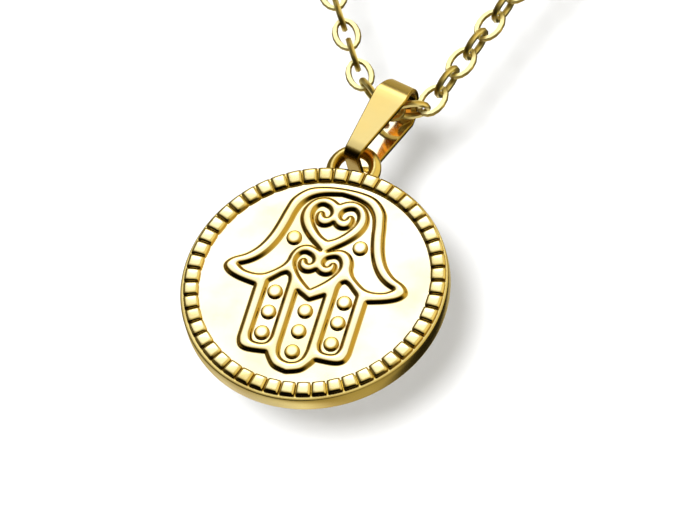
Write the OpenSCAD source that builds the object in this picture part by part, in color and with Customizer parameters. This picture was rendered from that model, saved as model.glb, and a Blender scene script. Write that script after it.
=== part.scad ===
// Round hamsa medallion on a folded bail and a flat-wire cable chain.
// The medallion hangs in the XZ plane with its relief towards -Y.
// The origin is the middle of the chain's highest point, where the necklace hangs.
// Inside the file, heights are taken from the medallion's centre and shifted at the end.

/* [Medallion] */
// Outer diameter of the disc
disc_d = 25; // [24.8:0.1:25.2]
// Thickness of the disc over its rim blocks
disc_t = 2.3; // [2.2:0.05:2.4]
// Depth of the plain field below the rim blocks
field_drop = 0.4; // [0.38:0.01:0.42]
// Diameter of the field inside the rim
field_d = 21.7; // [21.6:0.1:21.8]
// Size of the bevel around the plain back
back_cut = 0.4; // [0.3:0.05:0.45]
// Number of square blocks around the rim
block_count = 50; // [48:1:52]
// Width of the groove between two rim blocks
block_gap = 0.25; // [0.25:0.01:0.35]
// Height of a rim block above the ledge it stands on
block_h = 0.35; // [0.3:0.01:0.36]

/* [Relief] */
// Height of the hand's raised bands above the field
relief_h = 0.3; // [0.26:0.01:0.34]
// Sideways place of the lower heart, which is cast a little off the middle
lower_heart_x = -0.22; // [-0.25:0.01:0]
// Radius of a raised dot where it meets the field
dot_r = 0.72; // [0.65:0.01:0.75]
// Height of a raised dot
dot_h = 0.3; // [0.26:0.01:0.34]

/* [Cast ring] */
// Height of the cast ring's centre above the medallion's centre
ring_centre = 13; // [12.95:0.01:13.05]
// Radius of the ring's wire centre line
ring_r = 2; // [1.95:0.01:2.05]
// Radius of the ring's wire
ring_wire_r = 0.6; // [0.55:0.01:0.6]

/* [Bail] */
// Sideways lean of the bail
bail_lean = 16; // [15:0.5:17]
// Height of the bottom bar's top face above the medallion's centre
bail_seat = 13.72; // [13.65:0.01:13.75]
// Height of the crown's centre above the bottom bar
crown_h = 6.85; // [6.8:0.01:6.9]
// Outer radius of the crown, half the bail's depth
crown_r = 2.3; // [2.28:0.01:2.32]
// Thickness of the strap
strap_t = 0.5; // [0.48:0.01:0.5]
// Width of the strap at the bottom
strap_w_low = 1.4; // [1.3:0.01:1.5]
// Width of the strap below the crown
strap_w_high = 3.3; // [3.2:0.01:3.4]
// Width of the strap over the crown
strap_w_top = 2.4; // [2.3:0.01:2.5]

/* [Chain] */
// Outer length of a link
link_l = 3.7; // [3.69:0.01:3.71]
// Outer width of a link
link_w = 2.7; // [2.69:0.01:2.71]
// Width of a link's flat wire at its sides, seen from the front
wire_w = 0.62; // [0.6:0.01:0.64]
// Width of a link's flat wire at its two ends
wire_end_w = 0.5; // [0.49:0.01:0.51]
// Thickness of the flattened wire
wire_t = 0.5; // [0.45:0.01:0.5]
// Distance between the centres of two links, before it is fitted to the loop
pitch_nominal = 2.35; // [2.35:0.01:2.35]
// Radius of the loop around the neck
loop_r = 57; // [56:0.5:58]
// Height of that loop's centre above the medallion's centre
loop_centre = 145; // [144:0.5:146]
// Lean of the right strand near the bail, from upright
right_lean = 18.9; // [18.7:0.1:19]
// Lean of the left strand near the bail, from upright
left_lean = 31.5; // [31:0.1:32]
// Number of links in each strand before it turns towards the loop
run_links = 6; // [4:2:8]

/* [Clasp] */
// Distance from the clasp's centre to its eye
eye_x = 3.4; // [3.3:0.1:3.5]
// Distance from the clasp's centre to the middle of its big end
claw_x = 1.6; // [1.5:0.1:1.7]
// Thickness of the clasp
clasp_t = 0.9; // [0.8:0.05:0.9]
// Radius of the jump ring's wire centre line
jump_r = 1.8; // [1.75:0.01:1.85]
// Radius of the jump ring's wire
jump_wire_r = 0.35; // [0.3:0.01:0.35]

/* [Hidden] */
$fn = 64;
overlap = 0.1;
edge_cut = 0.1;
front = disc_t / 2;
field_z = front - field_drop;
ledge_z = front - block_h;
field_r = field_d / 2;
disc_r = disc_d / 2;
block_in_r = field_r + 0.1;
block_out_r = disc_r - edge_cut / 2;
relief_round = 0.08;
curve_steps = 4;
nape_z = loop_centre + loop_r;

// Half outline of the hand, from the middle of its top down to the middle finger's tip
hand_side = [[0, 10.3], [1.6, 10.2], [3.2, 9.75], [4.35, 8.6], [4.75, 7.3], [5.1, 5.6], [5.5, 4.2],
             [6.15, 2.9], [7.1, 1.9], [8.25, 1.25], [8.75, 0.5], [8.25, -0.2], [7.1, -0.7], [5.35, -1.1]];
outer_finger = [[5.35, -6.8], [5.05, -7.6], [4.2, -7.95], [2.35, -7.9]];
middle_finger = [[2.35, -7.9], [2.05, -8.4], [1.3, -9.25], [0, -9.65]];
// Half outline of the sunk palm
palm_top = [[0, 9.7], [1.5, 9.45], [2.7, 8.95], [3.45, 8.1], [3.8, 7.1], [4, 6], [4.25, 4.9],
            [4.6, 3.8], [5.15, 2.7], [5.85, 1.8], [6.7, 1.15], [7.6, 0.75]];
palm_low = [[7.6, 0.7], [6.9, 0.2], [5.9, 0], [5, 0.1], [4.3, 0.5], [3.45, 1.25], [3.05, 1.95],
            [2.95, 2.6], [2.7, 3.2], [2.25, 3.65], [1.6, 3.85], [0.9, 3.7], [0, 3.3]];
// Half outline of the raised upper heart, from notch to point
upper_heart = [[0, 8.6], [0.7, 9], [1.5, 9.1], [2.4, 8.7], [3, 7.8], [3.1, 6.8], [2.7, 5.8],
               [1.9, 4.85], [0.9, 4], [0, 3.2]];
// Half outlines of the sunk ground in each heart. Each runs from the heart's point up its side,
// over into a round pocket, back around a raised lobe and down to the middle.
upper_ground = [[0, 4.6], [0.75, 5], [1.5, 5.75], [2, 6.55], [2.2, 7.3], [2.05, 7.95], [1.6, 8.35],
                [1.1, 8.3], [0.65, 8.05], [0.42, 7.6], [0.55, 7.17], [0.9, 7.03], [1.15, 7.25],
                [1.25, 7.55], [1.5, 7.6], [1.72, 7.3], [1.72, 6.8], [1.5, 6.4], [1.1, 6.18],
                [0.65, 6.2], [0.25, 6.42], [0, 6.7]];
lower_ground = [[0, -0.75], [0.85, -0.05], [1.6, 0.75], [2.1, 1.6], [2.2, 2.25], [1.95, 2.85],
                [1.5, 3.1], [1.05, 3], [0.65, 2.78], [0.45, 2.35], [0.6, 1.98], [0.92, 1.88],
                [1.18, 2.1], [1.27, 2.38], [1.5, 2.42], [1.72, 2.15], [1.7, 1.65], [1.45, 1.3],
                [1.05, 1.1], [0.6, 1.12], [0.25, 1.3], [0, 1.5]];
// Sunk finger slots and the dots in them
side_slot = [[2.3, -0.1], [2.45, 0.45], [2.85, 0.7], [3.3, 0.45], [4.35, -0.55]];
side_slot_end = [[4.38, -6.3], [4.1, -6.95], [3.35, -7.15], [2.6, -6.95], [2.3, -6.3]];
middle_slot = [[0, -1.8], [1.38, -1]];
middle_slot_end = [[1.38, -7], [1.2, -7.9], [0.7, -8.45], [0, -8.65]];
side_dots = [[3.35, -1.5], [3.35, -3.7], [3.35, -5.95], [3.2, 4.45]];
middle_dots = [[0, -3], [0, -5.2], [0, -7.4]];

function curve_point(a, b, c, d, t) =
    b + (c - a) * t / 2 + (a - 2.5 * b + 2 * c - d / 2) * t ^ 2 + (3 * (b - c) + d - a) * t ^ 3 / 2;

// Smooth curve through a few points
function curve(p) = [
    for (i = [0 : len(p) - 2], k = [0 : curve_steps - 1])
        curve_point(p[max(i - 1, 0)], p[i], p[i + 1], p[min(i + 2, len(p) - 1)], k / curve_steps),
    p[len(p) - 1]
];

// Closed outline from its right half
function both_halves(p) = concat(p, [for (i = [len(p) - 1 : -1 : 0]) [-p[i].x, p[i].y]]);

module hand_outline() {
    polygon(both_halves(concat(curve(hand_side), curve(outer_finger), curve(middle_finger))));
}

module palm_outline() {
    polygon(both_halves(concat(curve(palm_top), curve(palm_low))));
}

module finger_slots() {
    polygon(both_halves(concat(middle_slot, curve(middle_slot_end))));
    for (side = [0, 1])
        mirror([side, 0]) polygon(concat(side_slot, curve(side_slot_end)));
}

module relief_outline() {
    offset(r = relief_round) offset(delta = -relief_round) {
        difference() {
            hand_outline();
            palm_outline();
            finger_slots();
            translate([lower_heart_x, 0]) polygon(both_halves(curve(lower_ground)));
        }
        difference() {
            polygon(both_halves(curve(upper_heart)));
            polygon(both_halves(curve(upper_ground)));
        }
    }
}

// One raised dot: the cap of a ball sunk in the field
module dot(place) {
    ball_r = (dot_r ^ 2 + dot_h ^ 2) / (2 * dot_h);
    translate([place.x, place.y, field_z + dot_h - ball_r]) sphere(ball_r);
}

module dots() {
    for (place = middle_dots) dot(place);
    for (side = [-1, 1], place = side_dots) dot([side * place.x, place.y]);
}

module rim_blocks() {
    difference() {
        translate([0, 0, ledge_z - overlap]) cylinder(h = block_h + overlap, r = block_out_r);
        translate([0, 0, ledge_z - 2 * overlap]) cylinder(h = 2 * block_h, r = block_in_r);
        for (i = [0 : block_count - 1])
            rotate((i + 0.5) * 360 / block_count)
                translate([block_in_r - 1, -block_gap / 2, ledge_z - 2 * overlap])
                    cube([disc_r, block_gap, 2 * block_h]);
    }
}

module disc_body() {
    rotate_extrude()
        polygon([
            [0, -front], [disc_r - back_cut, -front], [disc_r, -front + back_cut],
            [disc_r, ledge_z - edge_cut], [disc_r - edge_cut, ledge_z],
            [field_r, ledge_z], [field_r, field_z], [0, field_z]
        ]);
}

module cast_ring() {
    translate([0, ring_centre, 0]) rotate_extrude() translate([ring_r, 0]) circle(ring_wire_r);
}

// Shift from the medallion's centre to the necklace's origin
module in_place() {
    translate([0, 0, -nape_z]) children();
}

module medallion() {
    color("gold") in_place() rotate([90, 0, 0]) {
        disc_body();
        rim_blocks();
        translate([0, 0, field_z - overlap]) linear_extrude(relief_h + overlap) relief_outline();
        dots();
        cast_ring();
    }
}

// Side view of the bail: round crown above, small round corners below
module strap_loop(half_depth, low, corner) {
    translate([0, crown_h]) circle(half_depth);
    translate([-half_depth, low + corner]) square([2 * half_depth, crown_h - low - corner]);
    translate([corner - half_depth, low]) square([2 * (half_depth - corner), 2 * corner]);
    for (side = [-1, 1])
        translate([side * (half_depth - corner), low + corner]) circle(corner);
}

// Front view of the bail: a strap that widens upwards
module strap_front() {
    low = strap_w_low / 2;
    high = strap_w_high / 2;
    top = strap_w_top / 2;
    crown_top = crown_h + crown_r;
    polygon([
        [-low, -2 * strap_t], [low, -2 * strap_t], [high, crown_h],
        [top, crown_top], [-top, crown_top], [-high, crown_h]
    ]);
}

module bail() {
    bail_corner = 0.9;
    color("gold") in_place() translate([0, 0, bail_seat]) rotate([0, bail_lean, 0])
        intersection() {
            rotate([90, 0, 90]) linear_extrude(2 * strap_w_high, center = true)
                difference() {
                    strap_loop(crown_r, -strap_t, bail_corner);
                    strap_loop(crown_r - strap_t, 0, bail_corner - strap_t);
                }
            rotate([90, 0, 0]) linear_extrude(4 * crown_r, center = true) strap_front();
        }
}

// A link bends against the next one about the middle of its oval end's curve.
// face_half and edge_half are the distances from a link's middle to that point,
// for a link that shows its face and for one that shows its edge.
face_half = (link_l - link_w ^ 2 / link_l) / 2;
edge_half = pitch_nominal - face_half;
strand_run = run_links * pitch_nominal;

// Ends of the two strands where they leave the links in the bail
right_end = [4.96, 20.8];
left_end = [-1.8, 22.34];
// Middle and slope of the link that lies in the bail between the two strands
saddle = [1.3, 20.07];
saddle_slope = -20.8;

function along(angle) = [cos(angle), sin(angle)];
function leaning(angle) = [sin(angle), cos(angle)];

// Route of one strand as seen with its own side as +X:
// [foot of the line that touches the loop, its lean, its length, length to the top]
function route(foot, lean) =
    let (
        turn = foot + strand_run * leaning(lean),
        reach = [0, loop_centre] - turn,
        touch_lean = atan2(reach.x, reach.y) + asin(loop_r / norm(reach)),
        straight = sqrt(norm(reach) ^ 2 - loop_r ^ 2),
        arc = (touch_lean + 90) * PI / 180 * loop_r
    )
    [turn, touch_lean, straight, strand_run + straight + arc];

function lean_at(r, lean, s) =
    s < strand_run ? lean
    : s < strand_run + r[2] ? r[1]
    : r[1] - (s - strand_run - r[2]) / loop_r * 180 / PI;

function place_at(r, foot, lean, s) =
    s < strand_run ? foot + s * leaning(lean)
    : s < strand_run + r[2] ? r[0] + (s - strand_run) * leaning(r[1])
    : [0, loop_centre] + loop_r * [cos(lean_at(r, lean, s)), -sin(lean_at(r, lean, s))];

right_foot = right_end;
left_foot = [-left_end.x, left_end.y];
right_route = route(right_foot, right_lean);
left_route = route(left_foot, left_lean);

// The eye and the jump ring take the last links, so each side's pitch is fitted to end there
claw_hole_r = 1.5;
claw_hole_x = 2.2;
link_play = edge_half - (link_l - wire_end_w) / 2;
ring_play = 0.3;
jump_place = right_route[3] - claw_hole_x - (claw_hole_r - jump_wire_r - ring_play) - jump_r;
right_room = jump_place - jump_r - link_play - 2 * face_half;
left_room = left_route[3] - eye_x - edge_half - face_half;
right_steps = 2 * round(right_room / pitch_nominal / 2);
left_steps = 2 * round((left_room / pitch_nominal - 1) / 2) + 1;
right_pitch = right_room / right_steps;
left_pitch = left_room / left_steps;

module oval(l, w) {
    scale([l / 2, w / 2]) circle(1, $fn = 32);
}

// One link, long way along X; it shows its face to -Y or its edge
module link(shows_face) {
    rotate([shows_face ? 90 : 0, 0, 0]) linear_extrude(wire_t, center = true)
        difference() {
            oval(link_l, link_w);
            oval(link_l - 2 * wire_end_w, link_w - 2 * wire_w);
        }
}

module link_at(place, angle, shows_face) {
    translate([place.x, 0, place.y]) rotate([0, -angle, 0]) link(shows_face);
}

module strand(side, r, foot, lean, steps, pitch) {
    for (i = [0 : steps]) {
        s = face_half + i * pitch;
        place = place_at(r, foot, lean, s);
        link_at([side * place.x, place.y], 90 - side * lean_at(r, lean, s), i % 2 == 0);
    }
}

// The edge-on link between a strand's end and the link in the bail
module bridge_link(a, b) {
    d = b - a;
    link_at((a + b) / 2, atan2(d.y, d.x), false);
}

module chain() {
    color("khaki") in_place() {
        strand(1, right_route, right_foot, right_lean, right_steps, right_pitch);
        strand(-1, left_route, left_foot, left_lean, left_steps, left_pitch);
        link_at(saddle, saddle_slope, true);
        bridge_link(left_end, saddle - face_half * along(saddle_slope));
        bridge_link(saddle + face_half * along(saddle_slope), right_end);
    }
}

module clasp() {
    eye_r = 1;
    eye_out_r = 1.75;
    claw_out_r = 3;
    claw_hole_near = 0.4;
    color("khaki") rotate([90, 0, 0]) difference() {
        linear_extrude(clasp_t, center = true) hull() {
            translate([-eye_x, 0]) circle(eye_out_r);
            translate([claw_x, 0]) circle(claw_out_r);
        }
        translate([-eye_x, 0]) cylinder(h = 2 * clasp_t, r = eye_r, center = true);
        for (x = [claw_hole_near, claw_hole_x])
            translate([x, 0]) cylinder(h = 2 * clasp_t, r = claw_hole_r, center = true);
        translate([(claw_hole_near + claw_hole_x) / 2, 0])
            cube([claw_hole_x - claw_hole_near, 2 * claw_hole_r, 2 * clasp_t], center = true);
    }
}

module jump_ring() {
    place = place_at(right_route, right_foot, right_lean, jump_place);
    color("khaki") in_place() translate([place.x, 0, place.y])
        rotate([0, lean_at(right_route, right_lean, jump_place) - 90, 0])
            rotate_extrude() translate([jump_r, 0]) circle(jump_wire_r);
}

medallion();
bail();
chain();
clasp();
jump_ring();
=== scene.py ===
import math

import bmesh
import bpy
import numpy as np
from bpy.props import FloatProperty, FloatVectorProperty, IntProperty, PointerProperty
from bpy.types import Operator, Panel, PropertyGroup
from mathutils import Matrix, Vector, geometry, kdtree


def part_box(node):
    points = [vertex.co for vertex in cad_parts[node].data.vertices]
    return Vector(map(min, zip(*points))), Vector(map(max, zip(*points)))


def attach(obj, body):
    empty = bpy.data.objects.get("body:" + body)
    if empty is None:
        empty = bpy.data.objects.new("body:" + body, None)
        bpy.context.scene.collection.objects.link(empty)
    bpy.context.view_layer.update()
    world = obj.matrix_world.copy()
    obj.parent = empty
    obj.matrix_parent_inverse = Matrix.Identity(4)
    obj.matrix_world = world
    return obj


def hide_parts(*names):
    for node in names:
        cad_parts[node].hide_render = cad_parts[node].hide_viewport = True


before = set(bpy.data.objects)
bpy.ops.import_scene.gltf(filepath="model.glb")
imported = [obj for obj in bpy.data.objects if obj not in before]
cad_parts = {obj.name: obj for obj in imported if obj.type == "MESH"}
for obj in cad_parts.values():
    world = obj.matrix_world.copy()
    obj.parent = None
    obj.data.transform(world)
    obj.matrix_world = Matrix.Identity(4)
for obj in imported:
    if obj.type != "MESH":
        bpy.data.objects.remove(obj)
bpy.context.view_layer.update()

bl_info = {
    "name": "Hamsa necklace",
    "version": (1, 0, 0),
    "blender": (4, 5, 0),
    "location": "3D View > Sidebar > Necklace",
    "description": "Builds a gold hamsa medallion on its bail and chain, with a studio around it",
    "category": "Object",
}

MM = 0.001
DISC_LOW, DISC_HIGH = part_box("medallion")
DISC_R = (DISC_HIGH.x - DISC_LOW.x) / 2
DISC_Z = DISC_LOW.z + DISC_R
FRONT_Y = DISC_LOW.y
BACK_Y = DISC_HIGH.y


# Sizes and colours

def length(name, description, default):
    """A length that a user can change."""
    return FloatProperty(name=name, description=description, default=default, min=0,
                         precision=5, subtype="DISTANCE", unit="LENGTH")


def colour(name, description, default):
    """A colour that a user can change."""
    return FloatVectorProperty(name=name, description=description, default=default, min=0, max=1,
                               size=3, subtype="COLOR")


def amount(name, description, default):
    """A plain number from 0 up that a user can change."""
    return FloatProperty(name=name, description=description, default=default, min=0)


def share(name, description, default):
    """A share from 0 to 1 that a user can change."""
    return FloatProperty(name=name, description=description, default=default, min=0, max=1,
                         subtype="FACTOR")


class MedallionSettings(PropertyGroup):
    """Sizes of the medallion and its cast ring."""

    field_depth: length("Field depth", "Depth of the plain field below the rim blocks", 0.4 * MM)
    field_radius: length("Field radius", "Radius of the field inside the rim", 10.85 * MM)
    band_height: length("Band height", "Height of the hand's raised bands", 0.3 * MM)
    band_foot: length("Band foot", "How far a band's wall spreads over the field", 0.19 * MM)
    band_edge: length("Band edge", "Width of the rounded edge on a band", 0.17 * MM)
    band_crown: length("Band crown", "Height that a band's middle swells", 0.03 * MM)
    block_count: IntProperty(name="Blocks", description="Number of blocks around the rim",
                             default=50, min=12)
    block_radius: length("Block circle", "Radius of the circle that the blocks stand on", 11.52 * MM)
    block_long: length("Block length", "Length of a block across the rim", 1.44 * MM)
    block_wide: length("Block width", "Width of a block along the rim", 1.38 * MM)
    block_rise: length("Block ring place", "How far the ring of blocks sits above the disc's middle",
                       0.17 * MM)
    block_high: length("Block height", "Height of a block above the ledge", 0.35 * MM)
    block_round: length("Block rounding", "Radius of a block's soft edges", 0.15 * MM)
    block_dome: length("Block dome", "How far a block's top falls towards its corners", 0.06 * MM)
    dot_radius: length("Dot radius", "Radius of a raised dot", 0.75 * MM)
    dot_height: length("Dot height", "Height of a raised dot above the field", 0.26 * MM)
    ring_radius: length("Ring radius", "Radius of the cast ring's centre line", 2 * MM)
    ring_wire: length("Ring wire", "Radius of the cast ring's wire", 0.6 * MM)
    ring_lift: length("Ring place", "Height of the ring's centre over the medallion's", 13 * MM)


class BailSettings(PropertyGroup):
    """Sizes of the folded bail."""

    lean: FloatProperty(name="Lean", description="Sideways lean of the bail",
                        default=math.radians(16), subtype="ANGLE", unit="ROTATION")
    seat: length("Seat", "Height of the bottom bar's top face over the medallion's centre", 13.72 * MM)
    crown_height: length("Crown height", "Height of the crown's centre over the bottom bar", 6.85 * MM)
    half_depth: length("Half depth", "Half of the bail's size from front to back", 2.3 * MM)
    corner: length("Corner", "Radius of the bottom corners", 0.9 * MM)
    thickness: length("Thickness", "Thickness of the strap", 0.5 * MM)
    half_low: length("Half width below", "Half of the strap's width at its low end", 0.7 * MM)
    half_high: length("Half width at the crown", "Half of the strap's width at the crown", 1.65 * MM)
    half_top: length("Half width on top", "Half of the strap's width on top of the crown", 1.2 * MM)
    bevel: length("Bevel", "Width of the bevel along the strap's edges", 0.1 * MM)


class ChainSettings(PropertyGroup):
    """Sizes of the chain's links and of the clasp's edges."""

    link_length: length("Link length", "Outer length of a link", 3.7 * MM)
    link_width: length("Link width", "Outer width of a link", 2.7 * MM)
    wire_width: length("Wire width", "Width of the flat wire at a link's sides", 0.62 * MM)
    wire_end: length("Wire end width", "Width of the flat wire at a link's ends", 0.5 * MM)
    wire_thickness: length("Wire thickness", "Thickness of the flat wire", 0.5 * MM)
    clasp_round: length("Clasp rounding", "Radius of the clasp's soft edges", 0.2 * MM)


class FinishSettings(PropertyGroup):
    """Colours and polish of the gold, with its painted shade and painted reflection tones."""

    bright_gold: colour("Bright gold", "Colour of the polished field and relief", (0.97, 0.87, 0.6))
    gold: colour("Gold", "Colour of the disc's plain sides and the cast ring", (0.64, 0.52, 0.2))
    # The bail's outer gold is a darker copy of the gold, painted shade for the bail, which the key light
    # reaches less than the field
    shaded_bail_gold: colour("Shaded bail gold", "Colour of the bail's outer faces and edges", (0.48, 0.385, 0.16))
    deep_gold: colour("Deep gold", "Warmer tone that the gold drifts to", (0.52, 0.39, 0.13))
    pale_gold: colour("Pale gold", "Colour of the rim blocks and of the field's cloudy parts",
                      (0.82, 0.72, 0.4))
    chain_gold: colour("Chain gold", "Colour of the chain, clasp and jump ring", (0.84, 0.78, 0.4))
    # The deep orange inside the bail's front is a painted reflection: the polished back leg mirrors it in
    # place of gold reflected in gold
    painted_reflection_gold: colour("Painted reflection gold", "Deep colour inside the bail's front", (0.85, 0.36, 0.05))
    # Painted shade: colour laid into creases, walls and edges in place of shade and dark reflections
    painted_shade: colour("Painted shade", "Dark tone in corners and along edges", (0.38, 0.24, 0.018))
    polish: share("Polish", "Roughness of the polished metal", 0.12)
    satin: share("Satin", "Roughness of the satin metal", 0.2)
    mirror: share("Mirror", "Roughness of the metal inside the bail", 0.06)
    tumbled: share("Tumbled", "Roughness of the chain's tumbled metal", 0.36)


class StageSettings(PropertyGroup):
    """Backdrop, light and camera."""

    wall_distance: length("Wall distance", "Distance of the backdrop behind the necklace", 40 * MM)
    floor_depth: length("Floor depth", "Depth of the floor below the necklace's highest point", 1.2)
    camera_distance: length("Camera distance", "Distance of the camera from the pendant", 1.5)
    view_width: length("View width", "Width of the picture at the pendant", 62.56 * MM)
    key: amount("Key light", "Strength of the large soft light", 1.22)
    fill: amount("Fill light", "Strength of the warm light around the studio", 0.14)
    room: amount("Room light", "Strength of the plain light on the backdrop", 0.47)
    sun: amount("Shadow light", "Strength of the light that casts the shadow", 2.7)
    warm: colour("Warm fill", "Colour of the light around the studio", (1.0, 0.84, 0.42))
    backdrop: colour("Backdrop", "Colour of the wall and floor", (0.88, 0.89, 0.91))


class NecklaceSettings(PropertyGroup):
    """All that a user can change."""

    medallion: PointerProperty(type=MedallionSettings)
    bail: PointerProperty(type=BailSettings)
    chain: PointerProperty(type=ChainSettings)
    finish: PointerProperty(type=FinishSettings)
    stage: PointerProperty(type=StageSettings)


# Node trees written as Python expressions

class Value:
    """An output socket that can be used in sums."""

    def __init__(self, net, socket):
        self.net = net
        self.socket = socket

    def other(self, name):
        """Another output of the same node."""
        return Value(self.net, self.socket.node.outputs[name])

    def __add__(self, other):
        return self.net.maths("ADD", self, other)

    def __radd__(self, other):
        return self.net.maths("ADD", other, self)

    def __sub__(self, other):
        return self.net.maths("SUBTRACT", self, other)

    def __rsub__(self, other):
        return self.net.maths("SUBTRACT", other, self)

    def __mul__(self, other):
        return self.net.maths("MULTIPLY", self, other)

    def __rmul__(self, other):
        return self.net.maths("MULTIPLY", other, self)

    def __truediv__(self, other):
        return self.net.maths("DIVIDE", self, other)

    def __neg__(self):
        return self.net.maths("MULTIPLY", self, -1.0)


class Net:
    """A node tree, built one call at a time."""

    def __init__(self, tree):
        self.tree = tree

    def add(self, kind, settings=None, sockets=None, output=0):
        """Adds a node, sets its settings and then its sockets, and returns one output."""
        node = self.tree.nodes.new(kind)
        for name, setting in (settings or {}).items():
            setattr(node, name, setting)
        for name, content in (sockets or {}).items():
            if isinstance(content, Value):
                self.tree.links.new(content.socket, node.inputs[name])
            else:
                node.inputs[name].default_value = content
        return Value(self, node.outputs[output]) if len(node.outputs) else None

    def maths(self, operation, *terms):
        """Maths on plain numbers."""
        return self.add("ShaderNodeMath", {"operation": operation}, dict(enumerate(terms)))

    def vector(self, operation, *terms):
        """Maths on vectors that gives a vector."""
        return self.add("ShaderNodeVectorMath", {"operation": operation}, dict(enumerate(terms)))

    def dot(self, a, b):
        """The dot product of two vectors."""
        return self.add("ShaderNodeVectorMath", {"operation": "DOT_PRODUCT"}, {0: a, 1: b}, "Value")

    def mix(self, factor, a, b):
        """Mixes two colours."""
        return self.add("ShaderNodeMix", {"data_type": "RGBA"}, {0: factor, 6: a, 7: b}, 2)

    def ramp(self, value, zero_at, one_at):
        """A soft step from 0, at the first number, to 1, at the second."""
        return self.add("ShaderNodeMapRange", {"interpolation_type": "SMOOTHSTEP"},
                        {"Value": value, "From Min": zero_at, "From Max": one_at})

    def ring(self, points, radius):
        """A round curve in a geometry tree."""
        return self.add("GeometryNodeCurvePrimitiveCircle", {"mode": "RADIUS"},
                        {"Resolution": points, "Radius": radius})

    def copies(self, points, mesh, turn=None):
        """A copy of a mesh on each point, turned by angles about X, Y and Z if they are given."""
        sockets = {"Points": points, "Instance": mesh}
        if turn is not None:
            sockets["Rotation"] = self.add("FunctionNodeEulerToRotation", {}, {0: turn})
        return self.add("GeometryNodeInstanceOnPoints", {}, sockets)

    def mark_painted_shade(self, mesh, value):
        """Stores a mesh's painted shade, from 0 to 1, in a geometry tree."""
        return self.add("GeometryNodeStoreNamedAttribute", {"data_type": "FLOAT", "domain": "POINT"},
                        {"Geometry": mesh, "Name": "painted_shade", "Value": value})

    def place(self, axis):
        """One coordinate of the points in a geometry tree."""
        return self.add("ShaderNodeSeparateXYZ", {}, {0: self.add("GeometryNodeInputPosition")}, axis)

    def noise(self, place, scale, detail):
        """A cloudy pattern from 0 to 1."""
        return self.add("ShaderNodeTexNoise", {}, {"Vector": place, "Scale": scale, "Detail": detail})


def shader_net(owner):
    """An empty shader tree for a material or world."""
    owner.use_nodes = True
    owner.node_tree.nodes.clear()
    return Net(owner.node_tree)


# Kind of socket that takes each kind of input
SOCKET_KINDS = {int: "NodeSocketInt", float: "NodeSocketFloat", tuple: "NodeSocketVector"}


def geometry_net(name, inputs):
    """An empty geometry tree with a named socket for each of its inputs, and those sockets' values."""
    tree = bpy.data.node_groups.new(name, "GeometryNodeTree")
    tree.interface.new_socket("Geometry", in_out="INPUT", socket_type="NodeSocketGeometry")
    for label, content in inputs.items():
        tree.interface.new_socket(label, in_out="INPUT", socket_type=SOCKET_KINDS[type(content)])
    tree.interface.new_socket("Geometry", in_out="OUTPUT", socket_type="NodeSocketGeometry")
    net = Net(tree)
    source = net.add("NodeGroupInput")
    return net, {label: source.other(label) for label in ["Geometry", *inputs]}


def end_tree(net, instances, material):
    """Ends a geometry tree with plain, smooth faces in their material."""
    plain = net.add("GeometryNodeRealizeInstances", {}, {"Geometry": instances})
    smooth = net.add("GeometryNodeSetShadeSmooth", {}, {"Geometry": plain})
    done = net.add("GeometryNodeSetMaterial", {}, {"Geometry": smooth, "Material": material})
    net.add("NodeGroupOutput", {}, {"Geometry": done})


def run_tree(obj, tree, inputs):
    """Runs a geometry tree on an object and keeps the result as its plain mesh."""
    sockets = {item.name: item.identifier for item in tree.interface.items_tree
               if item.item_type == "SOCKET" and item.in_out == "INPUT"}
    modifier = obj.modifiers.new(tree.name, "NODES")
    modifier.node_group = tree
    for name, content in inputs.items():
        modifier[sockets[name]] = content
    points = obj.data
    seen = obj.evaluated_get(bpy.context.evaluated_depsgraph_get())
    obj.data = bpy.data.meshes.new_from_object(seen)
    obj.modifiers.remove(modifier)
    bpy.data.meshes.remove(points)
    if not obj.data.polygons:
        raise RuntimeError(f"{tree.name} made no faces")


# Meshes

def new_object(name, data):
    """Puts a mesh, a lamp or a camera in the scene."""
    obj = bpy.data.objects.new(name, data)
    bpy.context.scene.collection.objects.link(obj)
    return obj


def new_points(name, places):
    """An object of loose points, for a geometry tree to grow a piece from."""
    mesh = bpy.data.meshes.new(name)
    mesh.from_pydata(places, [], [])
    return new_object(name, mesh)


def stand_for(obj, body, node):
    """Lets a finished object ride on a body in place of a CAD node."""
    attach(obj, body)
    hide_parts(node)


def new_piece(mesh, material, body, node):
    """Puts a finished mesh in the scene under its own name, in place of a CAD node."""
    mesh.materials.append(material)
    stand_for(new_object(mesh.name, mesh), body, node)


def new_mesh(name, verts, faces, sharp=40):
    """A closed mesh, smooth where its faces meet at less than the sharp angle, in degrees."""
    mesh = bpy.data.meshes.new(name)
    mesh.from_pydata([tuple(map(float, v)) for v in verts], [], [tuple(map(int, f)) for f in faces])
    work = bmesh.new()
    work.from_mesh(mesh)
    bmesh.ops.recalc_face_normals(work, faces=work.faces)
    for face in work.faces:
        face.smooth = True
    work.to_mesh(mesh)
    work.free()
    mesh.set_sharp_from_angle(angle=math.radians(sharp))
    return mesh


def merged_copy(node, weld):
    """A copy of a CAD node's mesh, with corners that lie within so many millimetres made one."""
    work = bmesh.new()
    work.from_mesh(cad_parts[node].data)
    bmesh.ops.remove_doubles(work, verts=work.verts, dist=weld * MM)
    return work


def store_painted_shade(mesh, values):
    """Stores how much painted shade each vertex takes, from 0 to 1."""
    shade = mesh.attributes.new("painted_shade", "FLOAT", "POINT")
    shade.data.foreach_set("value", [float(v) for v in values])


def from_axis(place, centre_z):
    """Distance of a place from a line that runs from front to back at that height."""
    return math.hypot(place.x, place.z - centre_z)


def loft(rings):
    """Vertices and faces of a closed tube through closed rings, the last joined to the first."""
    count, size = len(rings), len(rings[0])
    faces = [(i * size + k, i * size + (k + 1) % size,
              (i + 1) % count * size + (k + 1) % size, (i + 1) % count * size + k)
             for i in range(count) for k in range(size)]
    return [v for ring in rings for v in ring], faces


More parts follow.
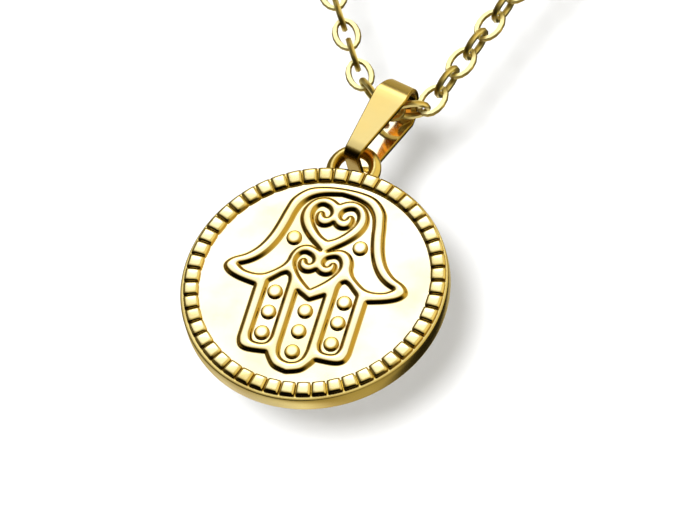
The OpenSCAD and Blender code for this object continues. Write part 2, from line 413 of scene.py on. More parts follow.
def torus(radius, wire, centre, steps=64, sides=20):
    """Vertices and faces of a wire ring that faces the viewer."""
    rings = []
    for i in range(steps):
        turn = 2 * math.pi * i / steps
        out = Vector((math.cos(turn), 0, math.sin(turn)))
        rings.append([centre + out * (radius + wire * math.cos(a)) + Vector((0, wire * math.sin(a), 0))
                      for a in (2 * math.pi * k / sides for k in range(sides))])
    return loft(rings)


def turned(profile, steps=240):
    """Vertices and faces of a turned disc: the profile runs from axis to axis as (radius, y)."""
    inner = profile[1:-1]
    verts = [(0, profile[0][1], 0), (0, profile[-1][1], 0)]
    faces = []
    size = len(inner)
    for i in range(steps):
        turn = 2 * math.pi * i / steps
        verts += [(r * math.cos(turn), y, r * math.sin(turn)) for r, y in inner]
        here, there = 2 + i * size, 2 + (i + 1) % steps * size
        faces.append((0, here, there))
        faces += [(here + k, here + k + 1, there + k + 1, there + k) for k in range(size - 1)]
        faces.append((here + size - 1, 1, there + size - 1))
    return [Vector(v) + Vector((0, 0, DISC_Z)) for v in verts], faces


# Gold

# Scales of the gold's patterns: soft clouds, fine grain and polishing marks along X
CLOUD_SCALE = 160.0
GRAIN_SCALE = 2600.0
MARK_SCALE = (900.0, 5000.0, 5000.0)
# Part of the clouds over which the first tone drifts to the second
CLOUD_DRIFT = (0.35, 0.75)
# How much the grain roughens the gold
GRAIN_ROUGHNESS = 0.06
# Height and strength of the grain and the polishing marks
MARK_HEIGHT = 0.0015 * MM
MARK_STRENGTH = 0.35
# Share of the painted shade colour where a vertex takes full painted shade
PAINTED_SHADE_SHARE = 0.92


def gold_finish(name, first, second, roughness, wave):
    """Polished gold plate: soft waves, faint polishing marks and painted shade in creases and along walls
    and edges.
    """
    finish = bpy.context.scene.necklace.finish
    material = bpy.data.materials.new(name)
    net = shader_net(material)
    place = net.add("ShaderNodeTexCoord", output="Object")
    cloud = net.noise(place, CLOUD_SCALE, detail=3.0)
    grain = net.noise(place, GRAIN_SCALE, detail=2.0)
    marks = net.noise(net.vector("MULTIPLY", place, MARK_SCALE), 1.0, detail=1.0)
    painted_shade = net.add("ShaderNodeAttribute", {"attribute_name": "painted_shade"}, output="Fac")
    tone = net.mix(net.ramp(cloud, *CLOUD_DRIFT), (*first, 1), (*second, 1))
    # Painted shade: the tone turns towards the painted shade colour by the mesh's painted shade value
    tone = net.mix(painted_shade * PAINTED_SHADE_SHARE, tone, (*finish.painted_shade, 1))
    swell = net.add("ShaderNodeBump", {}, {"Strength": 1.0, "Distance": wave, "Height": cloud})
    normal = net.add("ShaderNodeBump", {}, {
        "Strength": MARK_STRENGTH, "Distance": MARK_HEIGHT, "Height": marks + grain, "Normal": swell})
    metal = net.add("ShaderNodeBsdfPrincipled", {}, {
        "Base Color": tone, "Roughness": roughness + grain * GRAIN_ROUGHNESS, "Metallic": 1.0,
        "Normal": normal})
    net.add("ShaderNodeOutputMaterial", {}, {"Surface": metal})
    return material


def gold(kind):
    """One of the golds, made when it is first used: two tones, a roughness and the waves' height."""
    finish = bpy.context.scene.necklace.finish
    first, second, roughness, wave = {
        "polished_gold": (finish.bright_gold, finish.pale_gold, finish.polish, 0.025 * MM),
        "rim_gold": (finish.pale_gold, finish.gold, finish.polish, 0.01 * MM),
        "satin_gold": (finish.gold, finish.deep_gold, finish.satin, 0.015 * MM),
        # Darker copy of the gold: painted shade on the bail's outer faces
        "shaded_bail_gold": (finish.shaded_bail_gold, finish.deep_gold, finish.satin, 0.01 * MM),
        "mirror_gold": (finish.bright_gold, finish.gold, finish.mirror, 0.008 * MM),
        # Deep orange painted reflection inside the bail's front
        "painted_reflection_gold": (finish.painted_reflection_gold, finish.painted_reflection_gold, finish.mirror, 0.008 * MM),
        "chain_gold": (finish.chain_gold, finish.pale_gold, finish.tumbled, 0.01 * MM),
    }[kind]
    return bpy.data.materials.get(kind) or gold_finish(kind, first, second, roughness, wave)


# The disc and the cast ring, with their small sizes in millimetres

# Place of the disc's floor under the relief, from the disc's middle plane
POCKET_Y = -0.4
# Inner corner of the ledge, as steps out from the field's edge and in from the ledge
INNER_CORNER = ((0, 0.05), (0.02, 0.015), (0.06, 0))
# Front and back corners of the disc, as steps in from its edge and in from its face
FRONT_CORNER = ((0.5, 0), (0.3, 0), (0.1, 0), (0.03, 0.03), (0, 0.1))
BACK_CORNER = ((0, 0.45), (0.03, 0.3), (0.12, 0.14), (0.28, 0.04), (0.45, 0))
# The ledge gets painted shade where it lies further than this from the disc's edge
BRIGHT_EDGE = 0.4
# Depth that still counts as the ledge when it gets painted shade
LEDGE_PLAY = 0.02


class NECKLACE_OT_disc(Operator):
    """Makes the medallion's turned disc and its cast ring"""

    bl_idname = "necklace.disc"
    bl_label = "Disc and cast ring"

    def execute(self, context):
        sizes = context.scene.necklace.medallion
        field = sizes.field_radius
        ledge = FRONT_Y + sizes.block_high
        profile = [(0, POCKET_Y * MM), (field, POCKET_Y * MM)]
        profile += [(field + out * MM, ledge + down * MM) for out, down in INNER_CORNER]
        profile += [(DISC_R - inward * MM, ledge + down * MM) for inward, down in FRONT_CORNER]
        profile.append((DISC_R, 0))
        profile += [(DISC_R - inward * MM, BACK_Y - down * MM) for inward, down in BACK_CORNER]
        profile.append((0, BACK_Y))
        mesh = new_mesh("medallion_disc", *turned(profile))
        # Painted shade on the ledge away from the disc's edge
        store_painted_shade(mesh, [
            v.co.y < ledge + LEDGE_PLAY * MM and from_axis(v.co, DISC_Z) < DISC_R - BRIGHT_EDGE * MM
            for v in mesh.vertices])
        new_piece(mesh, gold("satin_gold"), "medallion", "medallion")
        centre = Vector((0, 0, DISC_Z + sizes.ring_lift))
        mesh = new_mesh("medallion_ring", *torus(sizes.ring_radius, sizes.ring_wire, centre))
        # Painted shade on the ring's inner side
        inner_side = sizes.ring_radius - sizes.ring_wire / 4
        store_painted_shade(mesh, [from_axis(v.co, centre.z) < inner_side for v in mesh.vertices])
        new_piece(mesh, gold("satin_gold"), "medallion", "medallion")
        return {"FINISHED"}


# The hand's relief, with its sizes in millimetres

# Corners of the CAD relief that lie closer than this are one, and tops may differ by as much
WELD = 0.002
# Spacing of the points along the relief's outlines
OUTLINE_STEP = 0.06
# Passes that smooth the small facets out of an outline
SMOOTH_PASSES = 8
# Distances of the rows of points from an outline, less than 0 outside the band
WALL_STEPS = (-0.3, -0.24, -0.18, -0.13, -0.09, -0.05, -0.01, 0.03, 0.07, 0.11, 0.17, 0.23, 0.29, 0.38)
# How much closer to another outline than to its own a row's point may lie
ROW_PLAY = 0.012
# Spacing of the loose points between the outlines
OPEN_STEP = 0.45
# Least distance of the loose points from the outlines and from the field's edge
OPEN_GAP = 0.42
RIM_GAP = 0.3
# Points around the field's edge, and how far that edge runs under the rim
EDGE_POINTS = 240
EDGE_TUCK = 0.08
# Thickness of the field's plate, which sinks into the disc
PLATE = 0.4
# Distance over which a band swells to its full height
CROWN_REACH = 0.2
# Middle, half width and steepness of the painted shade along an outline, on the bands' walls
SHADE_LINE_MIDDLE = 0.02
SHADE_LINE_HALF = 0.21
SHADE_LINE_POWER = 8
# Extra half width of the painted shade on walls that face up and to the left
SHADE_LINE_EXTRA = 0.07
# Direction from such a wall into its band
FROM_UPPER_LEFT = (0.5, -0.87)
# Share of the painted shade on the bands' tops
TOP_SHADE = 0.2


def band_outlines(reach):
    """Closed outlines of the CAD relief's flat tops, in millimetres from the medallion's centre."""
    work = merged_copy("medallion", WELD)
    inside = {v for v in work.verts if from_axis(v.co, DISC_Z) < reach}
    top_y = min(v.co.y for v in inside) + WELD * MM
    tops = {face for face in work.faces if all(v in inside and v.co.y < top_y for v in face.verts)}
    after = {}
    for face in (face for face in work.faces if face in tops):
        for corner in face.loops:
            if sum(other in tops for other in corner.edge.link_faces) == 1:
                after.setdefault(corner.vert, []).append(corner.link_loop_next.vert)
    outlines = []
    while after:
        start = next(iter(after))
        loop, point = [start], after[start].pop()
        while point != start:
            loop.append(point)
            point = after[point].pop()
        after = {vert: ends for vert, ends in after.items() if ends}
        outlines.append(even_loop(np.array([(v.co.x / MM, (v.co.z - DISC_Z) / MM) for v in loop])))
    work.free()
    return outlines


def even_loop(points):
    """The closed line at an even spacing, with its small facets smoothed away."""
    ring = np.vstack([points, points[:1]])
    run = np.r_[0, np.cumsum(np.linalg.norm(np.diff(ring, axis=0), axis=1))]
    places = np.linspace(0, run[-1], round(run[-1] / OUTLINE_STEP), endpoint=False)
    loop = np.column_stack([np.interp(places, run, ring[:, k]) for k in (0, 1)])
    for _ in range(SMOOTH_PASSES):
        loop = (loop + (np.roll(loop, 1, axis=0) + np.roll(loop, -1, axis=0)) / 2) / 2
    return loop


def inward_sides(loop):
    """Directions from an outline's points into its band."""
    ahead = np.roll(loop, -1, axis=0) - np.roll(loop, 1, axis=0)
    ahead /= np.linalg.norm(ahead, axis=1)[:, None]
    return np.column_stack([-ahead[:, 1], ahead[:, 0]])


def search_tree(points):
    """A tree that finds the nearest of some flat points."""
    tree = kdtree.KDTree(len(points))
    for i, place in enumerate(points):
        tree.insert((*place, 0), i)
    tree.balance()
    return tree


def relief_points(loops, tree, field_r):
    """Points of the relief: rows along each outline, a triangle grid between and a round edge."""
    points = []
    for loop, inward in loops:
        for row, away in enumerate(WALL_STEPS):
            for place, side in list(zip(loop, inward))[row % 2::2]:
                point = place + side * away
                if tree.find((*point, 0))[2] > abs(away) - ROW_PLAY:
                    points.append(point)
    count = int(field_r / OPEN_STEP) + 1
    for i in range(-count, count + 1):
        for k in range(-2 * count, 2 * count + 1):
            point = np.array((i + 0.5 * (k % 2), k * math.sqrt(0.75))) * OPEN_STEP
            if np.hypot(*point) < field_r - RIM_GAP and tree.find((*point, 0))[2] > OPEN_GAP:
                points.append(point)
    turns = np.linspace(0, 2 * math.pi, EDGE_POINTS, endpoint=False)
    return points, [np.array((math.cos(t), math.sin(t))) * (field_r + EDGE_TUCK) for t in turns]


def soft_rise(part):
    """Turns a straight rise from 0 to 1 into one with a soft start and end."""
    return part ** 3 * (part * (6 * part - 15) + 10)


def relief_form(places, loops, tree, sizes):
    """Height of the relief at each place in metres, and its painted shade from 0 to 1."""
    outline = np.vstack([loop for loop, _ in loops])
    inward = np.vstack([side for _, side in loops])
    found = [tree.find((*place, 0)) for place in places]
    nearest = np.array([index for _, index, _ in found])
    depth = np.array([distance for _, _, distance in found])
    depth *= np.sign(((places - outline[nearest]) * inward[nearest]).sum(axis=1))
    foot, lip = sizes.band_foot / MM, sizes.band_edge / MM
    rise = soft_rise(np.clip((depth + foot) / (foot + lip), 0, 1))
    crown = 1 - np.exp(-(np.maximum(depth - lip / 2, 0) / CROWN_REACH) ** 2)
    height = rise * (sizes.band_height - sizes.band_crown * (1 - crown))
    # Painted shade along the bands' walls, wider on walls that face up and to the left, and a little on
    # the tops
    upper_left = np.clip(inward[nearest] @ FROM_UPPER_LEFT, 0, 1)
    half = SHADE_LINE_HALF + SHADE_LINE_EXTRA * upper_left
    painted_shade = np.exp(-((depth - SHADE_LINE_MIDDLE) / half) ** SHADE_LINE_POWER)
    return height, np.maximum(painted_shade, TOP_SHADE * rise)


def relief_mesh(sizes):
    """The field and its raised hand as one closed plate, sunk into the disc."""
    loops = [(loop, inward_sides(loop)) for loop in band_outlines(sizes.field_radius)]
    tree = search_tree(np.vstack([loop for loop, _ in loops]))
    field_r = sizes.field_radius / MM
    points, edge = relief_points(loops, tree, field_r)
    flat, _, faces, *_ = geometry.delaunay_2d_cdt([Vector(p) for p in edge + points], [], [], 0, WELD)
    places = np.array([tuple(p) for p in flat])
    heights, painted_shades = relief_form(places, loops, tree, sizes)
    field_y = FRONT_Y + sizes.field_depth
    verts = [(x * MM, field_y - h, z * MM + DISC_Z) for (x, z), h in zip(places, heights)]
    rim = np.hypot(places[:, 0], places[:, 1]) > field_r + EDGE_TUCK / 2
    order = sorted(np.flatnonzero(rim), key=lambda i: math.atan2(places[i, 1], places[i, 0]))
    first, count = len(verts), len(order)
    verts += [(places[i, 0] * MM, field_y + PLATE * MM, places[i, 1] * MM + DISC_Z) for i in order]
    faces = [tuple(f) for f in faces]
    for i in range(count):
        after = (i + 1) % count
        faces.append((order[after], order[i], first + i, first + after))
    faces.append(tuple(range(first + count - 1, first - 1, -1)))
    mesh = new_mesh("medallion_relief", verts, faces, sharp=60)
    store_painted_shade(mesh, np.r_[painted_shades, np.zeros(count)])
    return mesh


class NECKLACE_OT_relief(Operator):
    """Makes the field with the raised hand and its two hearts"""

    bl_idname = "necklace.relief"
    bl_label = "Hand in relief"

    def execute(self, context):
        mesh = relief_mesh(context.scene.necklace.medallion)
        new_piece(mesh, gold("polished_gold"), "medallion", "medallion")
        return {"FINISHED"}


# The rim blocks

# Points of a block along each axis
BLOCK_POINTS = {"Vertices X": 7, "Vertices Y": 5, "Vertices Z": 7}
# A block has no painted shade in front of the first of these and full painted shade behind the second, in
# millimetres along Y
BLOCK_SHADE = (-0.32, -0.24)


def soft_block(net, given):
    """One block around its own middle, with round edges, a domed top and a wider outer end."""
    block = net.add("GeometryNodeMeshCube", {}, {"Size": given["Size"], **BLOCK_POINTS})
    place = net.add("GeometryNodeInputPosition")
    half = net.vector("MULTIPLY", given["Size"], (0.5, 0.5, 0.5))
    core = net.vector("SUBTRACT", half, given["Rounding"])
    low_core = net.vector("MULTIPLY", core, (-1, -1, -1))
    inner = net.vector("MAXIMUM", net.vector("MINIMUM", place, core), low_core)
    away = net.vector("NORMALIZE", net.vector("SUBTRACT", place, inner))
    soft = net.vector("ADD", inner, net.vector("MULTIPLY", away, given["Rounding"]))
    x = net.add("ShaderNodeSeparateXYZ", {}, {0: soft}, "X")
    part = net.vector("MULTIPLY", net.vector("DIVIDE", soft, half), (1, 0, 1))
    shape = net.add("ShaderNodeCombineXYZ", {}, {
        "X": x, "Y": x.other("Y") + net.dot(part, part) * given["Dome"] / 2,
        "Z": x.other("Z") * (1 + x / given["Circle"])})
    block = net.add("GeometryNodeSetPosition", {}, {"Geometry": block, "Position": shape})
    # Painted shade on the block's sides, none on its top
    bright, dark = BLOCK_SHADE
    return net.mark_painted_shade(block, net.ramp(net.place("Y"), bright * MM, dark * MM))


class NECKLACE_OT_blocks(Operator):
    """Makes the soft square blocks around the rim"""

    bl_idname = "necklace.blocks"
    bl_label = "Rim blocks"

    def execute(self, context):
        sizes = context.scene.necklace.medallion
        depth = 2 * sizes.block_high
        inputs = {
            "Count": sizes.block_count, "Circle": sizes.block_radius,
            "Size": (sizes.block_long, depth, sizes.block_wide), "Rounding": sizes.block_round,
            "Dome": sizes.block_dome, "Ground": FRONT_Y + depth / 2,
            "Centre": DISC_Z + sizes.block_rise}
        net, given = geometry_net("rim_blocks", inputs)
        turn = net.add("GeometryNodeInputIndex") * (2 * math.pi) / given["Count"]
        where = net.add("ShaderNodeCombineXYZ", {}, {
            "X": given["Circle"] * net.maths("COSINE", turn), "Y": given["Ground"],
            "Z": given["Circle"] * net.maths("SINE", turn) + given["Centre"]})
        points = net.add("GeometryNodePoints", {}, {"Count": given["Count"], "Position": where})
        facing = net.add("ShaderNodeCombineXYZ", {}, {"Y": -turn})
        end_tree(net, net.copies(points, soft_block(net, given), facing), gold("rim_gold"))
        obj = new_points("medallion_blocks", [])
        run_tree(obj, net.tree, inputs)
        obj.data.set_sharp_from_angle(angle=math.radians(60))
        stand_for(obj, "medallion", "medallion")
        return {"FINISHED"}


# The dots

# Places of the dots in the middle finger, in millimetres from the medallion's centre
MIDDLE_DOTS = ((0, -3), (0, -5.2), (0, -7.4))
# Places of the dots on the right, in the outer finger and beside the upper heart
SIDE_DOTS = ((3.35, -1.5), (3.35, -3.7), (3.35, -5.95), (3.2, 4.45))
DOT_PLACES = [*MIDDLE_DOTS, *((side * x, z) for side in (-1, 1) for x, z in SIDE_DOTS)]
# How full a dot's dome is: 1 makes half a ball, and more makes its sides steeper
DOT_POWER = 3.5
# A dot has no painted shade above the first of these heights on its ball of radius 1, and full painted
# shade below the second
DOT_SHADE = (0.92, 0.7)


class NECKLACE_OT_dots(Operator):
    """Makes the raised dots in the fingers and beside the upper heart"""

    bl_idname = "necklace.dots"
    bl_label = "Raised dots"

    def execute(self, context):
        sizes = context.scene.necklace.medallion
        inputs = {"Radius": sizes.dot_radius, "Height": sizes.dot_height}
        net, given = geometry_net("dots", inputs)
        ball = net.add("GeometryNodeMeshUVSphere", {}, {"Segments": 28, "Rings": 20, "Radius": 1.0})
        x, y, z = (net.place(axis) for axis in "XYZ")
        dome = 1 - net.maths("POWER", 1 - net.maths("ABSOLUTE", z), DOT_POWER)
        shape = net.add("ShaderNodeCombineXYZ", {}, {
            "X": x * given["Radius"], "Y": -given["Height"] * net.maths("SIGN", z) * dome,
            "Z": y * given["Radius"]})
        # Painted shade around the dot's foot
        ball = net.mark_painted_shade(ball, net.ramp(z, *DOT_SHADE))
        ball = net.add("GeometryNodeSetPosition", {}, {"Geometry": ball, "Position": shape})
        points = net.add("GeometryNodeMeshToPoints", {}, {"Mesh": given["Geometry"]})
        end_tree(net, net.copies(points, ball), gold("polished_gold"))
        field_y = FRONT_Y + sizes.field_depth
        obj = new_points("medallion_dots", [(x * MM, field_y, z * MM + DISC_Z) for x, z in DOT_PLACES])
        run_tree(obj, net.tree, inputs)
        stand_for(obj, "medallion", "medallion")
        return {"FINISHED"}


# The bail

# Steps of the bail's route: degrees in its corners and its crown, and parts of each straight side
CORNER_STEP = 15
CROWN_STEP = 6
SIDE_PARTS = 8
# The strap's taper starts this far below the bottom bar's top face
TAPER_FOOT = 1 * MM
# The strap gets painted shade below this height over the bottom bar's top face
LOW_END = 0.15 * MM
# Points of either half of the strap's section that lie on its narrow side, which gets painted shade
NARROW_SIDE = (1, 2, 3, 4)
# Points of the section at the ends of the strap's inner face
INNER_FACE = {5, 6}


def arc(y, z, radius, start, end, step):
    """A round stretch of the bail's route, from one angle to just before another."""
    turns = [(a, math.radians(a)) for a in range(start, end, step)]
    return [(y + radius * math.cos(turn), z + radius * math.sin(turn), a) for a, turn in turns]


def bail_route(sizes):
    """The strap's middle line as (y, z, angle that its outer face looks to), up the back first."""
    half = sizes.thickness / 2
    depth = sizes.half_depth - half
    corner = sizes.corner - half
    flat = sizes.half_depth - sizes.corner
    low = sizes.corner - sizes.thickness
    crown = sizes.crown_height
    route = [(y, low - corner, -90) for y in (-flat, -flat / 3, flat / 3)]
    route += arc(flat, low, corner, -90, 0, CORNER_STEP)
    route += [(depth, low + (crown - low) * k / SIDE_PARTS, 0) for k in range(SIDE_PARTS)]
    route += arc(0, crown, depth, 0, 180, CROWN_STEP)
    route += [(-depth, crown + (low - crown) * k / SIDE_PARTS, 180) for k in range(SIDE_PARTS)]
    route += arc(-flat, low, corner, 180, 270, CORNER_STEP)
    return route


def strap_section(wide, half, cut):
    """The strap's section, with a small bevel along each edge, as (sideways, outwards)."""
    side = [(wide - cut, half), (wide - cut / 3, half - cut / 3), (wide, half - cut),
            (wide, cut - half), (wide - cut / 3, cut / 3 - half), (wide - cut, -half)]
    return side + [(-u, v) for u, v in reversed(side)]


class NECKLACE_OT_bail(Operator):
    """Makes the folded bail that carries the medallion"""

    bl_idname = "necklace.bail"
    bl_label = "Bail"

    def execute(self, context):
        sizes = context.scene.necklace.bail
        crown = sizes.crown_height
        place = (Matrix.Translation((0, 0, DISC_Z + sizes.seat))
                 @ Matrix.Rotation(sizes.lean, 4, "Y"))
        rings = []
        painted_shades = []
        for y, z, angle in bail_route(sizes):
            taper = (z + TAPER_FOOT) / (crown + TAPER_FOOT)
            wide = sizes.half_low + (sizes.half_high - sizes.half_low) * taper
            if z > crown:
                over = (z - crown) / sizes.half_depth
                wide = sizes.half_high + (sizes.half_top - sizes.half_high) * over
            out = Vector((0, math.cos(math.radians(angle)), math.sin(math.radians(angle))))
            section = strap_section(wide, sizes.thickness / 2, sizes.bevel)
            rings.append([place @ (Vector((u, y, z)) + out * v) for u, v in section])
            half_count = len(section) // 2
            # Painted shade on the strap's narrow sides and its low end
            painted_shades += [k % half_count in NARROW_SIDE or z < LOW_END for k in range(len(section))]
        mesh = new_mesh("bail_strap", *loft(rings), sharp=25)
        store_painted_shade(mesh, painted_shades)
        new_piece(mesh, gold("shaded_bail_gold"), "bail", "bail")
        # The back leg's inner face takes the polished mirror gold, and the front leg's inner face the
        # deep orange painted reflection that it mirrors
        mesh.materials.append(gold("mirror_gold"))
        mesh.materials.append(gold("painted_reflection_gold"))
        for face in mesh.polygons:
            if {v % len(rings[0]) for v in face.vertices} == INNER_FACE:
                face.material_index = 1 if face.center.y > 0 else 2
        return {"FINISHED"}


# The chain

# Corners of the CAD chain and clasp that lie closer than this are one, in millimetres
FINE_WELD = 0.001
# A link starts as a ring of this radius, with a six-sided wire of radius 1
PATH_R = 2.0
PATH_POINTS = 16
WIRE_POINTS = 6
# Height of that wire
WIRE_HIGH = math.sqrt(3)
# How strongly the wire's inner and outer sides are flattened
FLATTEN = 1.2
# The wire has no painted shade within the first of these distances from its middle and full painted shade
# beyond the second
LINK_SHADE = (0.55, 0.95)


def link_places():
    """Middle and turn of each link of the CAD chain: its long way is X and its thin way Z."""
    work = merged_copy("chain", FINE_WELD)
    left = set(work.verts)
    places = []
    for first in work.verts:
        if first not in left:
            continue
        left.remove(first)
        edge = [first]
        part = []
        while edge:
            vert = edge.pop()
            part.append(vert.co)
            for other in (e.other_vert(vert) for e in vert.link_edges):
                if other in left:
                    left.remove(other)
                    edge.append(other)
        cloud = np.array(part)
        middle = (cloud.max(axis=0) + cloud.min(axis=0)) / 2
        _, axes = np.linalg.eigh(np.cov((cloud - middle).T))
        turn = Matrix(axes[:, ::-1])
        if turn.determinant() < 0:
            turn.col[2] *= -1
        places.append((middle, turn.to_euler()))
    work.free()
    return places


def flat_link(net, given):
    """One oval link of flat wire, made from a plain ring."""
    link = net.add("GeometryNodeCurveToMesh", {}, {
        "Curve": net.ring(PATH_POINTS, PATH_R), "Profile Curve": net.ring(WIRE_POINTS, 1.0)})
    x, y, z = (net.place(axis) for axis in "XYZ")
    reach = net.maths("SQRT", x * x + y * y)
    flat = net.maths("MAXIMUM", net.maths("MINIMUM", (reach - PATH_R) * FLATTEN, 1.0), -1.0) / 2
    long = (given["Length"] - given["Wire end width"]) / 2 + flat * given["Wire end width"]
    wide = (given["Width"] - given["Wire width"]) / 2 + flat * given["Wire width"]
    shape = net.add("ShaderNodeCombineXYZ", {}, {
        "X": x / reach * long, "Y": y / reach * wide, "Z": z / WIRE_HIGH * given["Thickness"]})
    # Painted shade along the wire's edges
    link = net.mark_painted_shade(link, net.ramp(net.maths("ABSOLUTE", reach - PATH_R), *LINK_SHADE))
    return net.add("GeometryNodeSetPosition", {}, {"Geometry": link, "Position": shape})


class NECKLACE_OT_chain(Operator):
    """Makes the chain's flat-wire links"""

    bl_idname = "necklace.chain"
    bl_label = "Chain links"

    def execute(self, context):
        sizes = context.scene.necklace.chain
        inputs = {
            "Length": sizes.link_length, "Width": sizes.link_width, "Wire width": sizes.wire_width,
            "Wire end width": sizes.wire_end, "Thickness": sizes.wire_thickness}
        net, given = geometry_net("flat_wire_links", inputs)
        points = net.add("GeometryNodeMeshToPoints", {}, {"Mesh": given["Geometry"]})
        turn = net.add("GeometryNodeInputNamedAttribute", {"data_type": "FLOAT_VECTOR"}, {"Name": "turn"})
        end_tree(net, net.copies(points, flat_link(net, given), turn), gold("chain_gold"))
        places = link_places()
        obj = new_points("chain_links", [tuple(middle) for middle, _ in places])
        turns = obj.data.attributes.new("turn", "FLOAT_VECTOR", "POINT")
        turns.data.foreach_set("vector", [a for _, turn in places for a in turn])
        run_tree(obj, net.tree, inputs)
        obj.data.set_sharp_from_angle(angle=math.radians(50))
        stand_for(obj, "chain", "chain")
        return {"FINISHED"}


# The clasp and the jump ring, with the angles in degrees

# Faces of the CAD clasp that meet at less than this are one face
FLAT_ANGLE = 1
# Edges of the clasp that are sharper than this are rounded
HARD_ANGLE = 60
# Faces of the rounded clasp that meet at less than this are shaded as one
SMOOTH_ANGLE = 50


class NECKLACE_OT_clasp(Operator):
    """Makes the clasp and its jump ring behind the neck"""

    bl_idname = "necklace.clasp"
    bl_label = "Clasp and jump ring"

    def execute(self, context):
        sizes = context.scene.necklace.chain
        work = merged_copy("clasp", FINE_WELD)
        bmesh.ops.dissolve_limit(work, angle_limit=math.radians(FLAT_ANGLE), verts=work.verts,
                                 edges=work.edges)
        hard = [e for e in work.edges
                if len(e.link_faces) == 2 and e.calc_face_angle() > math.radians(HARD_ANGLE)]
        bmesh.ops.bevel(work, geom=hard, offset=sizes.clasp_round, segments=3, profile=0.5,
                        affect="EDGES", clamp_overlap=True)
        bmesh.ops.triangulate(work, faces=work.faces)
        for face in work.faces:
            face.smooth = True
        mesh = bpy.data.meshes.new("clasp_claw")
        work.to_mesh(mesh)
        work.free()
        mesh.set_sharp_from_angle(angle=math.radians(SMOOTH_ANGLE))
        new_piece(mesh, gold("chain_gold"), "chain", "clasp")
        low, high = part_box("jump_ring")
        wire = (high.y - low.y) / 2
        radius = (high.x - low.x) / 2 - wire
        mesh = new_mesh("jump_ring_wire", *torus(radius, wire, (low + high) / 2, steps=48, sides=12))
        new_piece(mesh, gold("chain_gold"), "chain", "jump_ring")
        return {"FINISHED"}


# The stage

# Direction from the pendant to the camera, and the picture's own right
TO_CAMERA = Vector((0.269, -0.842, -0.468)).normalized()
PICTURE_RIGHT = Vector((0.950, 0.152, 0.271)).normalized()
# How far the camera aims to the right of the disc's middle and above it
AIM_RIGHT = 2.44 * MM
AIM_UP = 2.51 * MM
# Nearest and furthest distance that the camera sees, in metres
CAMERA_REACH = (0.1, 4)
# Direction of the light that casts the shadow, and its spread in degrees
SUN_WAY = (0.196, -0.88, -0.433)
SUN_SPREAD = 5
# Half width of the wall and floor, which also sets their height and reach, in metres
CARD_HALF = 4.0

# Lights of the studio: the direction of the middle, the degrees from it at which the light ends and
# at which it is full, and the strength
SOFT_LIGHTS = {
    "band": ((-0.27, -0.7, 0.66), 15, 5, 2.6),
    "right": ((0.78, -0.35, 0.48), 58, 30, 1.2),
    "left": ((-0.9, 0.1, 0.45), 50, 10, 0.1),
    "top": ((-0.2, 0.1, 0.97), 40, 10, 0.62),
    "back": ((-0.3, 0.84, 0.45), 40, 18, 0.6),
    "front": ((0.1, -0.99, 0.05), 30, 10, 0.6),
    "low_back": ((0.3, 0.8, -0.52), 42, 15, 0.5),
    "low_left": ((-0.38, 0.84, -0.38), 36, 12, 0.8),
}
# The same for the key light, whose strength is one of the settings
KEY_LIGHT = ((-0.27, -0.79, 0.555), 28, 12)
# Dark cards, with the share of the light that they take away in place of the strength
DARK_CARDS = {
    "below": ((-0.05, -0.45, -0.89), 66, 44, 0.98),
    "behind_right": ((0.58, 0.78, 0.24), 30, 16, 0.9),
}


def backdrop_finish():
    """Plain pale card that is seen from its front only."""
    stage = bpy.context.scene.necklace.stage
    material = bpy.data.materials.new("backdrop")
    net = shader_net(material)
    card = net.add("ShaderNodeBsdfPrincipled", {}, {
        "Base Color": (*stage.backdrop, 1), "Roughness": 0.9})
    clear = net.add("ShaderNodeBsdfTransparent")
    behind = net.add("ShaderNodeNewGeometry", output="Backfacing")
    both = net.add("ShaderNodeMixShader", {}, {0: behind, 1: card, 2: clear})
    net.add("ShaderNodeOutputMaterial", {}, {"Surface": both})
    return material


def new_card(name, corners, material):
    """One flat card of the backdrop, which casts no shadow and doesn't show in the gold."""
    mesh = bpy.data.meshes.new(name)
    mesh.from_pydata(corners, [], [(0, 1, 2, 3)])
    mesh.materials.append(material)
    card = new_object(name, mesh)
    card.visible_glossy = False
    card.visible_shadow = False


def studio_world(scene):
    """Soft studio that the gold reflects, and plain light on the wall and floor."""
    stage = scene.necklace.stage
    world = bpy.data.worlds.new("studio")
    scene.world = world
    net = shader_net(world)
    way = net.add("ShaderNodeTexCoord", output="Generated")

    def patch(direction, end, full):
        """1 inside a round patch around a direction, 0 outside it."""
        return net.ramp(net.dot(way, Vector(direction).normalized()),
                        math.cos(math.radians(end)), math.cos(math.radians(full)))

    key = patch(*KEY_LIGHT)
    glows = {name: patch(*place) * strength for name, (*place, strength) in SOFT_LIGHTS.items()}
    light = stage.fill + key * stage.key
    for glow in glows.values():
        light = light + glow
    for *place, share in DARK_CARDS.values():
        light = light * (1 - patch(*place) * share)
    tint = net.mix(key + glows["low_left"], (*stage.warm, 1), (1, 1, 1, 1))
    seen = net.add("ShaderNodeLightPath", output="Is Camera Ray")
    plainly = net.maths("MAXIMUM", seen, seen.other("Is Diffuse Ray"))
    studio = net.add("ShaderNodeBackground", {}, {"Color": tint, "Strength": light})
    plain = net.add("ShaderNodeBackground", {}, {"Color": (1, 1, 1, 1), "Strength": stage.room})
    both = net.add("ShaderNodeMixShader", {}, {0: plainly, 1: studio, 2: plain})
    net.add("ShaderNodeOutputWorld", {}, {"Surface": both})


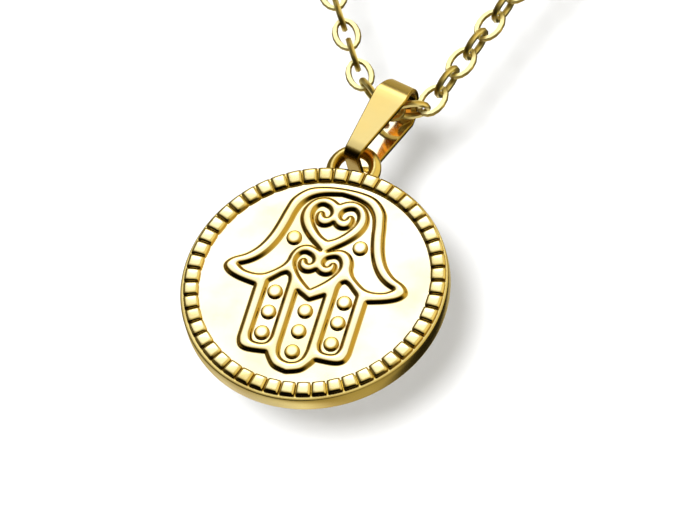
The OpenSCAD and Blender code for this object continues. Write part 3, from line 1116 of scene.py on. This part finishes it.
def photo_camera(stage):
    """The camera at the photograph's viewing angle."""
    up = TO_CAMERA.cross(PICTURE_RIGHT).normalized()
    right = up.cross(TO_CAMERA).normalized()
    aim = Vector((0, FRONT_Y, DISC_Z)) + AIM_RIGHT * right + AIM_UP * up
    camera = bpy.data.cameras.new("photo_view")
    camera.sensor_fit = "HORIZONTAL"
    camera.angle = 2 * math.atan(stage.view_width / 2 / stage.camera_distance)
    camera.clip_start, camera.clip_end = CAMERA_REACH
    view = new_object("photo_view", camera)
    view.matrix_world = Matrix.Translation(aim + stage.camera_distance * TO_CAMERA) @ Matrix(
        (right, up, TO_CAMERA)).transposed().to_4x4()
    return view


class NECKLACE_OT_stage(Operator):
    """Sets up the backdrop, the floor, the soft light and the camera"""

    bl_idname = "necklace.stage"
    bl_label = "Stage, light and camera"

    def execute(self, context):
        scene = context.scene
        stage = scene.necklace.stage
        material = backdrop_finish()
        wide = CARD_HALF
        wall_y = stage.wall_distance
        floor_z = -stage.floor_depth
        foot = [(wide, wall_y, floor_z), (-wide, wall_y, floor_z)]
        new_card("wall", [*reversed(foot), (wide, wall_y, wide), (-wide, wall_y, wide)], material)
        new_card("floor", [(-wide, -2 * wide, floor_z), (wide, -2 * wide, floor_z), *foot], material)
        studio_world(scene)
        sun = bpy.data.lights.new("shadow_light", "SUN")
        sun.energy = stage.sun
        sun.angle = math.radians(SUN_SPREAD)
        lamp = new_object("shadow_light", sun)
        lamp.rotation_euler = Vector(SUN_WAY).to_track_quat("Z", "Y").to_euler()
        lamp.visible_glossy = False
        scene.camera = photo_camera(stage)
        scene.view_settings.view_transform = "Standard"
        return {"FINISHED"}


# Panel and registration

PIECES = (NECKLACE_OT_disc, NECKLACE_OT_relief, NECKLACE_OT_blocks, NECKLACE_OT_dots, NECKLACE_OT_bail,
          NECKLACE_OT_chain, NECKLACE_OT_clasp, NECKLACE_OT_stage)


class NECKLACE_PT_parts(Panel):
    """Lists the necklace's pieces and sizes"""

    bl_idname = "NECKLACE_PT_parts"
    bl_label = "Hamsa necklace"
    bl_space_type = "VIEW_3D"
    bl_region_type = "UI"
    bl_category = "Necklace"

    def draw(self, context):
        for operator in PIECES:
            self.layout.operator(operator.bl_idname)
        settings = context.scene.necklace
        for group in ("medallion", "bail", "chain", "finish", "stage"):
            box = self.layout.box()
            box.label(text=group.capitalize())
            values = getattr(settings, group)
            for name in values.__annotations__:
                box.prop(values, name)


CLASSES = (MedallionSettings, BailSettings, ChainSettings, FinishSettings, StageSettings,
           NecklaceSettings, *PIECES, NECKLACE_PT_parts)


def register():
    """Registers the settings, the operators and the panel."""
    for kind in CLASSES:
        bpy.utils.register_class(kind)
    bpy.types.Scene.necklace = PointerProperty(type=NecklaceSettings)


def unregister():
    """Takes them out again."""
    del bpy.types.Scene.necklace
    for kind in reversed(CLASSES):
        bpy.utils.unregister_class(kind)


def main():
    """Makes every piece."""
    register()
    for operator in PIECES:
        group, name = operator.bl_idname.split(".")
        getattr(getattr(bpy.ops, group), name)()


if __name__ == "__main__":
    main()
